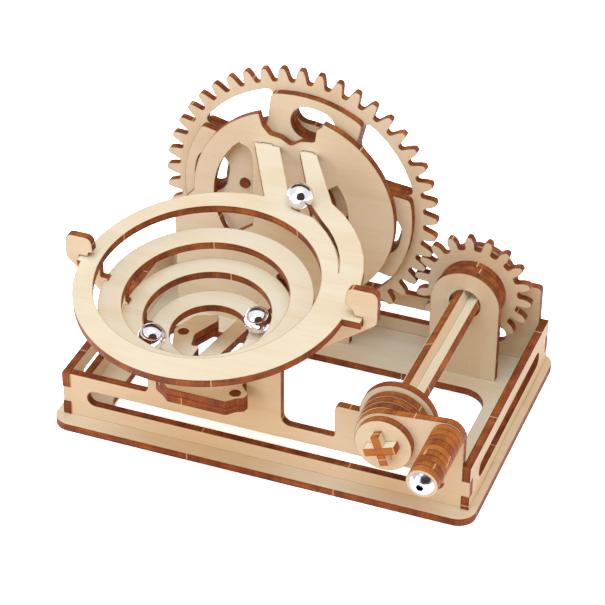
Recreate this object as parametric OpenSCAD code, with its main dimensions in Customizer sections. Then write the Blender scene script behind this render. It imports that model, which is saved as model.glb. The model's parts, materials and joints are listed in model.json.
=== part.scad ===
// Hand cranked marble run cut from plywood sheet.
// Turning the crank drives the pinion, the pinion drives the big toothed wheel,
// and the wheel lifts steel balls from the chute to the rails above the bowl.
// Millimetres. X runs to the right, Y to the back and Z up from the table.

/* [Sheet and fits] */
// Thickness of the plywood sheet
ply = 3; // [2.8:0.1:3.2]
// Clearance on each side of a tab in its slot
tab_gap = 0.05; // [0.02:0.01:0.1]
// Radial clearance of a shaft in its bearing hole
run_gap = 0.06; // [0.03:0.01:0.1]
// Diameter of the wooden pegs
peg_d = 4; // [3.6:0.1:4.4]

/* [Base] */
// Width of the base plate
base_w = 164; // [162:1:176]
// Depth of the base plate
base_d = 108; // [108:1:116]
// Corner radius of the base plate
base_corner = 7; // [3:0.5:9]
// Width of the opening in the base plate
opening_w = 131; // [110:1:134]
// Depth of the opening in the base plate
opening_d = 62.5; // [50:0.1:64]
// Corner radius of the opening
opening_corner = 10; // [5:0.5:14]
// Width of the rim in front of the opening
opening_front_rim = 12.9; // [12.5:0.1:14]
// Length of a tab in the base plate
foot_tab = 20.6; // [16:0.2:24]

/* [Frame panels] */
// Base edge to the outer face of a side panel
side_margin = 2.9; // [2:0.1:4]
// Base edge to the front face of the front panel
front_margin = 6.9; // [6:0.1:8]
// Base edge to the back face of the back panel
back_margin = 3.5; // [3:0.1:5]
// Height of the side panels above the base plate
side_h = 18.5; // [17:0.1:20]
// Height of the front panel's rail above the base plate
rail_h = 18.3; // [17:0.1:19]
// Height of a panel slot above the base plate
slot_low = 5.9; // [5:0.1:7]
// Width of the long round-ended slots
slot_w = 6.4; // [5:0.1:7]
// Panel end to the end of its long slot
slot_end = 9.7; // [8:0.1:12]
// Height of the finger below a corner tab
corner_low = 5.3; // [4.5:0.1:6]
// Height of a corner tab
corner_tab = 7; // [6:0.1:8]
// Corner radius of the small panel corners
panel_corner = 1.5; // [0.5:0.1:2.5]
// Height of the shoulder beside the front bearing
front_shoulder = 35.2; // [30:0.1:40]
// Height of the shoulder beside the back bearing
back_shoulder = 36.9; // [30:0.1:42]
// Crank axis to the left end of the front bearing block
block_left = 23.4; // [20:0.1:26]
// Panel end to the end of the back panel's long slot
back_slot_end = 15.6; // [14:0.1:18]
// Panel front to the front end of a side panel's long slot
side_slot_front = 10.5; // [9:0.1:13]
// Panel back to the back end of a side panel's long slot
side_slot_back = 11.6; // [9:0.1:13]

/* [Crank and gears] */
// Gear module
module_size = 2.36; // [2.3:0.01:2.4]
// Teeth on the big wheel
wheel_teeth = 45; // [40:1:45]
// Teeth on the pinion
pinion_teeth = 18; // [16:1:18]
// Height of a tooth above the pitch circle
tooth_above = 1.8; // [1.5:0.05:1.9]
// Depth of a tooth space below the pitch circle
tooth_below = 3.6; // [2.6:0.1:3.8]
// Play between meshing teeth
tooth_play = 0.7; // [0.4:0.05:1]
// Height of the wheel axis above the table
wheel_z = 60.5; // [59:0.1:64]
// Distance of the wheel axis to the left of the middle
wheel_left = 18.5; // [16:0.1:20]
// Slope of the line from the wheel axis down to the crank axis
mesh_slope = 19.7; // [18:0.1:20]
// Gap between neighbouring turning plates
plate_gap = 1.5; // [1:0.1:1.6]
// Angle of a big tooth above the right side
wheel_phase = 1.9; // [0:0.1:8]
// Width of a shaft strip
strip_w = 11.8; // [10.5:0.1:12.4]
// How far the shaft stands out of the crank cap
shaft_proud = 3.8; // [2:0.1:6]
// Radius of the wood round the front bearing
bearing_r = 14.3; // [12.5:0.1:15]
// Radius of the wood round the back bearing
back_bearing_r = 14.8; // [13:0.1:15.5]
// Radius of the spacer discs on the shaft
spacer_r = 13; // [11:0.1:14]
// Radius of the crank disc next to the front panel
crank_disc_r = 12.6; // [11:0.1:13.5]
// How much smaller each crank disc is than the one behind it
crank_disc_step = 0.3; // [0:0.1:0.6]
// Radius of the crank cap
cap_r = 10.4; // [8:0.1:11]
// Radius of the crank arm's big end
arm_big_r = 11.6; // [10:0.1:12.5]
// Radius of the crank arm's small end
arm_small_r = 5.9; // [5.2:0.1:7]
// Crank throw
throw = 23.4; // [22:0.1:25]
// Angle of the crank arm above level
crank_angle = 19.4; // [0:0.1:30]
// Gap between the front panel and the first crank disc
crank_gap = 0.8; // [0.5:0.1:1.2]
// Radius of the grip discs
grip_r = 5.7; // [5:0.1:6.5]
// Gap between the crank arm and the grip
grip_gap = 0.3; // [0.2:0.1:0.6]
// Screw shank diameter
screw_d = 4; // [3.6:0.1:4.4]
// Screw head diameter
screw_head_d = 8.9; // [8:0.1:10]
// Screw head height
screw_head_h = 2.3; // [1.8:0.1:2.8]
// Hexagon socket width across the flats
socket_w = 2.5; // [2:0.1:3]
// Hexagon nut width across the flats
nut_w = 7; // [6.4:0.1:7.4]
// Hexagon nut thickness
nut_h = 2.4; // [1.6:0.1:2.6]
// Width of the bearing post at its foot
pillar_w = 27; // [26:0.5:28]
// Space from the wheel cover's front face to the post's front face
pillar_step = 2.5; // [2:0.1:3]

/* [Wheel and cover] */
// Radius of the big wheel's open ring inside the teeth
ring_inner = 46.8; // [45:0.1:47]
// Radius of the wheel plates between their lobes
wheel_plate_r = 33.5; // [31:0.1:36]
// Radius of the lobes on the front and back plates
lobe_r = 46.1; // [45:0.1:46.6]
// Angle that a lobe spans at its outer edge
lobe_span = 46.5; // [42:0.5:52]
// Angle by which each side of a lobe widens towards the axis
lobe_flare = 8; // [4:0.5:10]
// Corner radius at the outer edge of a lobe
lobe_corner = 2; // [1:0.1:3]
// Corner radius between two lobes
lobe_root = 4; // [2:0.1:4.5]
// Angle of the top lobe from the right
lobe_angle = 80; // [70:1:90]
// Inner radius of a ball pocket
pocket_inner = 28.5; // [27:0.1:30]
// Outer radius of a ball pocket
pocket_outer = 42.2; // [41.8:0.1:42.8]
// Angle that a ball pocket spans
pocket_span = 29; // [24:1:32]
// Width of the slot that stops the balls in the back plate
stop_slot = 9; // [8.8:0.1:9.4]
// Radius of the wheel cover
cover_r = 40.5; // [39:0.1:41.5]
// Wheel axis to the left edge of the cover's leg
leg_left = 48.7; // [46:0.1:50]
// Wheel axis to the right edge of the cover's leg
leg_right = 23.7; // [22:0.1:31]
// Height of the shoulder on the cover's leg
leg_top = 50; // [44:0.5:52]
// Outer radius of the cover's left window
window_outer = 32.3; // [30:0.1:33]
// Radius of the cover's hub
hub_r = 16.5; // [15:0.1:17.5]
// Radius of the cover's right window
right_window_r = 22.3; // [20:0.1:23]
// Radius of the rows of pegs in the wheel
peg_circle = 21.5; // [20.5:0.1:23]
// Axle diameter
axle_d = 8; // [7:0.1:9]
// Radius of the discs at the ends of the axle
axle_disc_r = 8; // [7:0.1:9]

/* [Bowl] */
// Ball diameter
ball_d = 10; // [9.6:0.1:10]
// Space that a ball keeps from the wood
ball_gap = 0.2; // [0.1:0.05:0.4]
// Tilt of the bowl towards the front
bowl_tilt = 8; // [6:0.5:9]
// Height of the bowl's top face over the front panel
rim_z = 75.3; // [74.5:0.1:76]
// Outer radius of the top ring
rim_r = 49.5; // [48.5:0.1:50]
// Distance of the bowl's hole to the left of its rim's middle
bowl_shift = 3.5; // [3:0.1:4]
// Inner radius of the top ring
top_ring_in = 40.1; // [39.6:0.1:40.6]
// Distance of the top ring's hole to the right of the hole below it
top_hole_right = 0.8; // [0.4:0.1:1.2]
// Distance of the top ring's hole behind the hole below it
top_hole_back = 0.8; // [0:0.1:1.4]
// Outer radius of the second ring
second_ring_out = 38.2; // [37.6:0.1:39.4]
// Inner radius of the second ring
second_ring_in = 29.8; // [29.4:0.1:30.2]
// Outer radius of the third ring
third_ring_out = 30.6; // [30.4:0.1:31]
// Inner radius of the third ring
third_ring_in = 23; // [22.6:0.1:24]
// Outer radius of the lowest ring
low_ring_out = 22.1; // [21.6:0.1:23]
// Inner radius of the lowest ring
low_ring_in = 14.2; // [13:0.1:15]
// Drop from one ring to the next
ring_drop = 8.2; // [8:0.1:8.6]
// Depth of the notches that key a ring on the cradle
key_depth = 1.5; // [1.3:0.1:1.8]
// Half of the cradle's width over its ears
ear_out = 58.8; // [58:0.1:60]
// Distance of the cradle's middle to the right of the wheel axis
cradle_shift = 2.6; // [1.6:0.1:3]
// Height of the left ear
left_ear_top = 83.3; // [82:0.1:86]
// Height of the right ear
right_ear_top = 86.4; // [82:0.1:88]
// Width of the left ear
left_ear_w = 9.9; // [9.2:0.1:11.4]
// Width of the right ear
right_ear_w = 11.1; // [9.2:0.1:11.4]
// Width of an ear beside the tab that it holds
ear_wall = 5.4; // [4.6:0.1:6]
// Height of an ear's lower outer corner above the rim's seat
ear_corner_rise = 1.7; // [0:0.1:2]
// Half of the front panel's column
column_half = 26.1; // [24:0.1:28]
// Height at which the cradle leaves the column
cradle_low = 46.8; // [45:0.1:48]
// Width of the gap between the rails
rail_gap = 7; // [6:0.1:7.6]
// Angle of the rails from the straight way back
rail_angle = 28; // [26:0.5:29]
// Width of the left rail
left_rail_w = 9; // [8:0.1:9.6]
// Width of the right rail
right_rail_w = 6; // [5:0.1:7]
// How far the slot beside the rim reaches round it
slit_low_angle = 24; // [20:1:30]
// Width of that slot at its wide end
slit_w = 1.6; // [1.2:0.1:2]

/* [Catch plates and chute] */
// Height of the catch plates' upper face
catch_z = 36; // [35:0.1:37]
// How far the catch plates stand out in front of the front panel
catch_front = 13; // [11:0.1:14]
// Width of the chute plate
chute_w = 20; // [18:0.5:21]
// Width of the slot that the balls run on along the chute
chute_slot = 7; // [6:0.1:7.6]
// Slope of the chute
chute_slope = 13; // [12.7:0.1:13.3]
// Front panel's middle to the point where the chute rests on the lower catch plate
chute_rest = 5; // [4.5:0.1:6]
// Width of the ball hole in the wheel cover
ball_hole_w = 13.2; // [12.8:0.1:15]
// Height of the ball hole's top above the table
ball_hole_top = 29; // [28.6:0.1:31]

/* [Hidden] */
$fn = 48;
birch = [0.93, 0.87, 0.76];
burnt = [0.55, 0.27, 0.1];
steel = [0.8, 0.81, 0.83];

// Places along Y, from the rim of the bowl or the crank's screw head to the base's back edge
grip_discs = 9;
crank_discs = 3;
seat_gap = 0.1;
crank_reach = crank_gap + (crank_discs + 1 + grip_discs) * ply + grip_gap + seat_gap + screw_head_h;
bowl_reach = rim_r * cos(bowl_tilt) - ply / 2;
front_reach = max(crank_reach, bowl_reach);
back_edge = (base_d - front_margin + front_reach) / 2;
front_edge = back_edge - base_d;
base_middle_y = (front_edge + back_edge) / 2;
panel_y = front_edge + front_margin;
back_panel_y = back_edge - back_margin - ply;
wheel_back_gap = 2.1;
gear_y = back_panel_y - wheel_back_gap - 2 * ply;
cover_y = gear_y - 2 * ply - plate_gap;
pillar_y = cover_y - pillar_step;
bowl_y = panel_y + ply / 2;

// Places along X and Z
side_out = base_w / 2 - side_margin;
side_in = side_out - ply;
rail_top = ply + rail_h;
slot_z = ply + slot_low + slot_w / 2;
tab_low = ply + corner_low;
tab_high = tab_low + corner_tab;
side_front_proud = 0.5;
side_back_proud = 0.2;
wheel_x = -wheel_left;
bowl_x = wheel_x - bowl_shift;

// Gear train
wheel_pitch_r = module_size * wheel_teeth / 2;
pinion_pitch_r = module_size * pinion_teeth / 2;
axis_distance = wheel_pitch_r + pinion_pitch_r;
crank_x = wheel_x + axis_distance * cos(mesh_slope);
crank_z = wheel_z - axis_distance * sin(mesh_slope);
pressure_angle = 20;
// A pinion space faces the big tooth nearest to the line of axes
pinion_phase = 180 - mesh_slope - (wheel_phase + mesh_slope) * wheel_teeth / pinion_teeth
    + 180 / pinion_teeth;

// Shaft and its bearing holes
strip_corner = norm([strip_w / 2, ply / 2]);
bearing_hole_r = strip_corner + run_gap;
crank_front_y = panel_y - crank_gap - (crank_discs + 2) * ply;
shaft_front_y = crank_front_y - shaft_proud;
shaft_back_y = back_panel_y + ply;
arm_y = crank_front_y + ply;
grip_x = crank_x + throw * cos(crank_angle);
grip_z = crank_z + throw * sin(crank_angle);

// Bowl: depths of the ring tops below the rim, along the tilted axis
ring_rise = tan(bowl_tilt) * ply / 2;
function ring_ledge(drop) = rim_z - (drop + ply) / cos(bowl_tilt) - ring_rise - seat_gap;
tab_top = rim_z + ring_rise + seat_gap;
tab_reach = ear_out - ear_wall;
hook_w = 8.4;
tab_half = 4;
key_wall = key_depth - tab_gap;
lug_rise = 0.9;
lip_gap = 0.2;
function lug_top(drop) = rim_z - drop / cos(bowl_tilt) + lug_rise;
ball_place = 49.2;
outer_ball_angle = 242;
inner_ball_angle = 20;

// Rails, in the plane of the top ring about the rim's middle
rail_end = (cover_y - bowl_y - ply * sin(bowl_tilt)) / cos(bowl_tilt) - tab_gap;
rail_top_x = -1.2;
gap_half = rail_gap / 2 / cos(rail_angle);
rail_root = 4.5;
spiral_rate = 0.14;
spiral_end = 65;
slit_rate = 0.105;
slit_start_r = 43.9;
slit_high_angle = 60;
function gap_middle(y) = rail_top_x + (rail_end - y) * tan(rail_angle);
function on_circle(r, angle) = r * [cos(angle), sin(angle)];
function slit_r(angle) = slit_start_r + slit_rate * (angle - slit_low_angle);

// Chute
catch_low = catch_z - 2 * ply;
chute_rest_z = catch_low + ply + seat_gap;
chute_run = cover_y - bowl_y - chute_rest;
chute_end_z = chute_rest_z - chute_run * tan(chute_slope);
chute_tongue = 12.4;
tongue_reach = ply + 1.4;
chute_lead = 3;

// Corners given as [x, y, radius] become points with the round parts as arcs
function toward(a, b) = ([b.x, b.y] - [a.x, a.y]) / norm([b.x, b.y] - [a.x, a.y]);
function arc_points(centre, r, from, turn) =
    let (steps = max(1, ceil(abs(turn) * sqrt(r) / 30)))
    [for (i = [0:steps]) centre + on_circle(r, from + turn * i / steps)];
function round_corner(a, b, c) =
    b[2] == undef || b[2] < 0.01 ? [[b.x, b.y]] :
    let (u = toward(b, a), v = toward(b, c), half = acos(u * v) / 2)
    let (centre = [b.x, b.y] + (u + v) / norm(u + v) * b[2] / sin(half))
    let (start = [b.x, b.y] + u * b[2] / tan(half) - centre)
    let (side = u.x * v.y - u.y * v.x > 0 ? -1 : 1)
    arc_points(centre, b[2], atan2(start.y, start.x), side * (180 - 2 * half));
function rounded(corners) =
    let (n = len(corners))
    [for (i = [0:n - 1]) each round_corner(corners[(i + n - 1) % n], corners[i], corners[(i + 1) % n])];

module outline(corners) {
    polygon(rounded(corners));
}

// Rectangle with its lower left corner at [x, y]
module slab(x, y, w, h) {
    translate([x, y]) square([w, h]);
}

// Plate standing across the object, its front face at y
module upright(y) {
    translate([0, y + ply, 0]) rotate([90, 0, 0]) linear_extrude(ply) children();
}

// Plate standing along the object, its left face at x
module sideways(x) {
    translate([x, 0, 0]) rotate([90, 0, 90]) linear_extrude(ply) children();
}

// Round-ended slot between two points on a level line
module level_slot(from, to, z, w) {
    slab(from + w / 2, z - w / 2, to - from - w, w);
    for (x = [from + w / 2, to - w / 2]) translate([x, z]) circle(d = w);
}

// Tab positions along an edge, from its middle
front_tabs = [-39.2, 34.3];
back_tabs = [-40, 52];
side_tabs = [-28, 30];
pillar_tabs = [0];
leg_tabs = [-32, leg_right - foot_tab / 2 - 1.5];

module foot_tabs(places, middle, gap) {
    for (p = places) slab(middle + p - foot_tab / 2 + gap, 0, foot_tab - 2 * gap, ply);
}

module foot_slots_across(places, middle, y) {
    for (p = places) slab(middle + p - foot_tab / 2, y, foot_tab, ply);
}

module foot_slots_along(places, middle, x) {
    for (p = places) slab(x, middle + p - foot_tab / 2, ply, foot_tab);
}

module round_rectangle(x, y, w, h, r) {
    outline([[x, y, r], [x + w, y, r], [x + w, y + h, r], [x, y + h, r]]);
}

module base_plate() {
    color(birch) linear_extrude(ply) difference() {
        round_rectangle(-base_w / 2, front_edge, base_w, base_d, base_corner);
        round_rectangle(-opening_w / 2, front_edge + opening_front_rim, opening_w, opening_d, opening_corner);
        foot_slots_across(front_tabs, 0, panel_y);
        foot_slots_across(back_tabs, 0, back_panel_y);
        foot_slots_across(pillar_tabs, crank_x, pillar_y);
        foot_slots_across(leg_tabs, wheel_x, cover_y);
        foot_slots_along(side_tabs, base_middle_y, side_in);
        foot_slots_along(side_tabs, base_middle_y, -side_out);
    }
}

// Step of the cradle that carries a ring, with the lug that keys it
function stair(side, upper_edge, outer, number) = [
    [bowl_x + side * (upper_edge + lip_gap), ring_ledge((number - 1) * ring_drop), 0.5],
    [bowl_x + side * (upper_edge + lip_gap), lug_top(number * ring_drop), 0.2],
    [bowl_x + side * (outer - key_wall), lug_top(number * ring_drop), 0.3],
    [bowl_x + side * (outer - key_wall), ring_ledge(number * ring_drop), 0]
];

// Cradle ear and stairs on one side of the column: side is 1 for the right
function cradle(side, ear_w, top) =
    let (middle = wheel_x + cradle_shift)
    [
        [wheel_x + side * column_half, cradle_low, 2],
        [middle + side * ear_out, ring_ledge(0) + ear_corner_rise, 3],
        [middle + side * ear_out, top, 2.5],
        [middle + side * (ear_out - ear_w), top, 2.5],
        [middle + side * (ear_out - ear_w - 0.8), top - 6.4, 0.8],
        [middle + side * (ear_out - hook_w - 0.6), tab_top + 2, 0.6],
        [middle + side * (ear_out - hook_w), tab_top, 0],
        [middle + side * (tab_reach + lip_gap), tab_top, 0],
        [middle + side * (tab_reach + lip_gap), ring_ledge(0), 0],
        each stair(side, top_ring_in + side * top_hole_right, second_ring_out, 1),
        each stair(side, second_ring_in, third_ring_out, 2),
        each stair(side, third_ring_in, low_ring_out, 3),
        [bowl_x + side * (low_ring_in + 2), ring_ledge(3 * ring_drop), 1],
        [bowl_x + side * (low_ring_in + 2), catch_low, 0]
    ];
function reversed(list) = [for (i = [len(list) - 1:-1:0]) list[i]];

// Outer end of a front or back panel, with the tab of its corner joint
function panel_end(side, top, r) = [
    [side * (side_in - tab_gap), ply, 0],
    [side * (side_in - tab_gap), tab_low + tab_gap, 0],
    [side * side_out, tab_low + tab_gap, 0],
    [side * side_out, tab_high - tab_gap, 0],
    [side * (side_in - tab_gap), tab_high - tab_gap, 0],
    [side * (side_in - tab_gap), top, r]
];

module front_panel() {
    color(birch) upright(panel_y) difference() {
        union() {
            outline(concat(
                panel_end(1, front_shoulder, panel_corner),
                [
                    [crank_x - block_left, front_shoulder, panel_corner],
                    [crank_x - block_left, rail_top, 1],
                    [wheel_x + column_half, rail_top, 3.5]
                ],
                cradle(1, right_ear_w, right_ear_top),
                reversed(cradle(-1, left_ear_w, left_ear_top)),
                [[wheel_x - column_half, rail_top, 2]],
                reversed(panel_end(-1, rail_top, 0))
            ));
            translate([crank_x, crank_z]) circle(bearing_r);
            foot_tabs(front_tabs, 0, tab_gap);
        }
        translate([crank_x, crank_z]) circle(bearing_hole_r);
        level_slot(-side_out + slot_end, side_out - slot_end, slot_z, slot_w);
    }
}

module back_panel() {
    color(birch) upright(back_panel_y) difference() {
        union() {
            outline(concat(
                panel_end(1, back_shoulder, panel_corner),
                [
                    [crank_x, back_shoulder, 0],
                    [crank_x - back_bearing_r, crank_z, 0],
                    [crank_x - back_bearing_r, rail_top, 3]
                ],
                reversed(panel_end(-1, rail_top, 0))
            ));
            translate([crank_x, crank_z]) circle(back_bearing_r);
            foot_tabs(back_tabs, 0, tab_gap);
        }
        translate([crank_x, crank_z]) circle(bearing_hole_r);
        level_slot(-side_out + back_slot_end, side_out - back_slot_end, slot_z, slot_w);
    }
}

// Side panel with its corner notches round the tabs of the front and back panels
module side_panel(x) {
    low = tab_low - tab_gap;
    high = tab_high + tab_gap;
    front = panel_y - side_front_proud;
    front_in = panel_y + ply + tab_gap;
    back_in = back_panel_y - tab_gap;
    back = back_panel_y + ply + side_back_proud;
    top = ply + side_h;
    color(birch) sideways(x) difference() {
        union() {
            outline([
                [front, ply, 0], [back, ply, 0], [back, low, 0], [back_in, low, 0],
                [back_in, high, 0], [back, high, 0], [back, top, 0.5], [front, top, 0.5],
                [front, high, 0], [front_in, high, 0], [front_in, low, 0], [front, low, 0]
            ]);
            foot_tabs(side_tabs, base_middle_y, tab_gap);
        }
        level_slot(panel_y + side_slot_front, back_panel_y + ply - side_slot_back, slot_z, slot_w);
    }
}

module left_side_panel() {
    side_panel(-side_out);
}

module right_side_panel() {
    side_panel(side_in);
}

// Post that carries the shaft in front of the pinion
module crank_pillar() {
    color(birch) upright(pillar_y) difference() {
        union() {
            slab(crank_x - pillar_w / 2, ply, pillar_w, crank_z - ply);
            translate([crank_x, crank_z]) circle(pillar_w / 2);
            foot_tabs(pillar_tabs, crank_x, tab_gap);
        }
        translate([crank_x, crank_z]) circle(bearing_hole_r);
    }
}

// Sector from one angle to another, wide enough to cut any plate
module sector(from, to, r) {
    steps = ceil((to - from) / 15);
    polygon(concat([[0, 0]], [for (i = [0:steps]) on_circle(r, from + (to - from) * i / steps)]));
}

module ring_part(inner, outer, from, to) {
    intersection() {
        difference() {
            circle(outer, $fn = 96);
            circle(inner, $fn = 96);
        }
        sector(from, to, 2 * outer);
    }
}

// Notch at the top of the cover where a ball leaves the wheel
notch = [
    [-20, 60, 0], [-14, 38.4, 1.2], [-12.4, 33, 1.5], [-9.6, 29.8, 1.5], [-5, 29.2, 1.5],
    [-1, 26.8, 2], [3.2, 29.6, 1.5], [8.6, 30.4, 1.2], [9.2, 35.8, 1.2], [11.4, 37.6, 1], [18, 60, 0]
];

module wheel_cover() {
    hole_low = chute_end_z - ply * tan(chute_slope) - seat_gap;
    hole_left = wheel_x - ball_hole_w / 2;
    hole_right = wheel_x + ball_hole_w / 2;
    color(birch) upright(cover_y) difference() {
        union() {
            translate([wheel_x, wheel_z]) circle(cover_r, $fn = 96);
            outline([
                [wheel_x - leg_left, ply, 0], [wheel_x + leg_right, ply, 0],
                [wheel_x + leg_right, wheel_z - 27, 1], [wheel_x, wheel_z, 0],
                [wheel_x - cover_r + 1, wheel_z, 0], [wheel_x - leg_left, leg_top, 3]
            ]);
            foot_tabs(leg_tabs, wheel_x, tab_gap);
        }
        translate([wheel_x, wheel_z]) {
            outline(notch);
            circle(axle_d / 2 + tab_gap);
            left_window();
            ring_part(hub_r, right_window_r, -38, 38);
        }
        outline([
            [hole_left, hole_low, 0], [hole_right, hole_low, 0],
            [hole_right, ball_hole_top, 1.5], [hole_left, ball_hole_top, 1.5]
        ]);
        rail_slots();
    }
}

// Window in the left of the cover, with its round upper end
module left_window() {
    difference() {
        ring_part(hub_r, window_outer, 132, 216);
        translate([-hub_r, -window_outer]) square([hub_r, 2 * window_outer]);
    }
    translate([-21, 19]) circle(4.2);
}

// Slots in the cover for the tabs at the rails' ends
module rail_slots() {
    end_z = rim_z + rail_end * sin(bowl_tilt);
    for (x = [left_tab_x, right_tab_x])
        slab(wheel_x + x - rail_tab / 2 - tab_gap, end_z - ply - 0.5, rail_tab + 2 * tab_gap, ply + 1);
}
rail_tab = 4.4;
left_tab_x = rail_top_x - gap_half - left_rail_w / cos(rail_angle) / 2;
right_tab_x = rail_top_x + gap_half + right_rail_w / cos(rail_angle) / 2;

// Places children in the bowl's tilted frame, about the rim's middle
module tilted() {
    translate([wheel_x, bowl_y, rim_z]) rotate([bowl_tilt, 0, 0]) children();
}

// Gap between the rails, running on as the slot beside the rim
module rail_gap_cut() {
    steps = 6;
    step = (slit_high_angle - slit_low_angle) / steps;
    low_y = rim_r - 3.7;
    high_y = rim_r + 0.8;
    angles = [for (i = [0:steps]) slit_low_angle + step * i];
    function outer_r(a) = slit_r(a) + slit_w * (a - slit_low_angle) / (slit_high_angle - slit_low_angle);
    polygon(concat(
        [[gap_middle(rail_end + 5) - gap_half, rail_end + 5], [gap_middle(low_y) - gap_half, low_y]],
        [on_circle(slit_r(slit_high_angle + 4) + 0.3, slit_high_angle + 4)],
        [for (a = reversed(angles)) on_circle(slit_r(a), a)],
        [for (a = angles) on_circle(outer_r(a) + 0.15, a)],
        [[gap_middle(high_y) + gap_half, high_y], [gap_middle(rail_end + 5) + gap_half, rail_end + 5]]
    ));
}

// Wide right side of the rim, which runs on into the right rail
module rim_spiral() {
    steps = 8;
    outer = [for (i = [0:steps]) on_circle(rim_r + spiral_rate * spiral_end * i / steps, spiral_end * i / steps)];
    right = gap_half + right_rail_w / cos(rail_angle);
    inner_y = rim_r + 0.5;
    polygon(concat(
        [[rim_r - 6, 0]],
        outer,
        [
            [gap_middle(rail_end - 11) + right + 1, rail_end - 11],
            [gap_middle(rail_end) + right, rail_end],
            [gap_middle(rail_end) + gap_half - 1, rail_end],
            [gap_middle(inner_y) + gap_half - 1, inner_y],
            on_circle(rim_r - 6, 50)
        ]
    ));
}

module left_rail() {
    left = gap_half + left_rail_w / cos(rail_angle);
    foot_y = rim_r - rail_root;
    polygon([
        [gap_middle(rail_end) - left, rail_end],
        [gap_middle(foot_y) - left, foot_y],
        [gap_middle(foot_y) - gap_half + 1, foot_y],
        [gap_middle(rail_end) - gap_half + 1, rail_end]
    ]);
}

module top_ring() {
    color(birch) tilted() translate([0, 0, -ply]) linear_extrude(ply) difference() {
        union() {
            circle(rim_r, $fn = 120);
            rim_spiral();
            left_rail();
            slab(cradle_shift - tab_reach, -tab_half, 2 * tab_reach, 2 * tab_half);
            for (x = [left_tab_x, right_tab_x])
                slab(x - rail_tab / 2, rail_end - 1, rail_tab, ply + 1);
        }
        translate([top_hole_right - bowl_shift, top_hole_back]) circle(top_ring_in, $fn = 120);
        rail_gap_cut();
    }
}

// Lower ring with a notch on each side that keys it on the cradle
module bowl_ring(inner, outer, drop) {
    color(birch) difference() {
        tilted() translate([-bowl_shift, 0, -drop - ply]) difference() {
            cylinder(h = ply, r = outer, $fn = 120);
            translate([0, 0, -1]) cylinder(h = ply + 2, r = inner, $fn = 120);
        }
        for (side = [-1, 1])
            translate([bowl_x + side * outer - key_depth, panel_y - tab_gap, catch_z])
                cube([2 * key_depth, ply + 2 * tab_gap, rim_z - catch_z]);
    }
}

module second_ring() {
    bowl_ring(second_ring_in, second_ring_out, ring_drop);
}

module third_ring() {
    bowl_ring(third_ring_in, third_ring_out, 2 * ring_drop);
}

module low_ring() {
    bowl_ring(low_ring_in, low_ring_out, 3 * ring_drop);
}

// Catch plates below the bowl's hole, about the hole's axis over the front panel
peg_front = [low_ring_in + 0.7, -catch_front + 4.4];
peg_left = [-low_ring_in - 3, 19.6];
front_reach_y = -catch_front - 1.5;
catch_front_corners = [
    [peg_front.x - 26.5, peg_front.y - 3.4, 1], [peg_front.x - 23.9, front_reach_y, 1],
    [peg_front.x - 1.3, front_reach_y, 1.5], [peg_front.x + 1.5, peg_front.y - 2.8, 1],
    [peg_front.x + 4, peg_front.y - 1.6, 1.5], [peg_front.x + 4.5, peg_front.y + 1.1, 1.5],
    [peg_front.x + 2.1, peg_front.y + 3.6, 1], [peg_front.x + 0.1, peg_front.y + 5.9, 0.8]
];
catch_back_corners = [
    [peg_left.x + 9.2, peg_left.y - 5.6, 1], [peg_left.x + 6.2, peg_left.y - 7.6, 1],
    [peg_left.x + 4.5, peg_left.y - 0.1, 4], [peg_left.x + 9.2, peg_left.y + 10.4, 1],
    [peg_left.x + 8.2, peg_left.y + 14.4, 1], [peg_left.x + 0.2, peg_left.y + 11.4, 5],
    [peg_left.x - 3.8, peg_left.y + 0.4, 4]
];

module catch_plate(z, back) {
    side = low_ring_in + 1.9;
    color(birch) translate([bowl_x, bowl_y, z]) linear_extrude(ply) difference() {
        outline(concat(
            catch_front_corners,
            [[side, -ply / 2 - 0.2, 0], [side, back, 1], [peg_left.x + 9.2, back, 1]],
            catch_back_corners,
            [[-side, 6, 2], [-side, peg_front.y - 0.4, 2]]
        ));
        translate(peg_front) circle(peg_d / 2 + tab_gap);
        translate(peg_left) circle(peg_d / 2 + tab_gap);
    }
}

module upper_catch_plate() {
    catch_plate(catch_low + ply, ply / 2 + 0.5);
}

module lower_catch_plate() {
    catch_plate(catch_low, chute_rest);
}

// Pegs that pin the two catch plates together
module catch_pegs() {
    color(burnt) for (p = [peg_front, peg_left])
        translate([bowl_x + p.x, bowl_y + p.y, catch_low]) cylinder(h = 2 * ply - 0.3, r = peg_d / 2);
}

// Sloping plate with a slot, on which the balls roll to the wheel
module chute() {
    length = chute_run / cos(chute_slope);
    end = length - ply * tan(chute_slope) - seat_gap;
    color(birch) translate([wheel_x, bowl_y + chute_rest, chute_rest_z])
        rotate([-chute_slope, 0, 0]) linear_extrude(ply) difference() {
            union() {
                round_rectangle(-chute_w / 2, -chute_lead, chute_w, end + chute_lead, 1);
                slab(-chute_tongue / 2, end - 1, chute_tongue, tongue_reach);
            }
            round_rectangle(-chute_slot / 2, chute_lead + 4, chute_slot, length + 20, 1);
        }
}

// Round piece along Y, its front end at y, about the wheel's axis
module on_wheel_axis(y) {
    translate([wheel_x, y, wheel_z]) rotate([-90, 0, 0]) children();
}

module wheel_axle() {
    start = cover_y - ply;
    end = gear_y + 3 * ply + grip_gap;
    color(birch) on_wheel_axis(start) cylinder(h = end - start, r = axle_d / 2);
}

module axle_disc(y) {
    color(birch) on_wheel_axis(y) difference() {
        cylinder(h = ply, r = axle_disc_r);
        translate([0, 0, -1]) cylinder(h = ply + 2, r = axle_d / 2 + tab_gap);
    }
}

module axle_front_disc() {
    axle_disc(cover_y - ply);
}

module axle_back_disc() {
    axle_disc(gear_y + 2 * ply + grip_gap);
}

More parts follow.
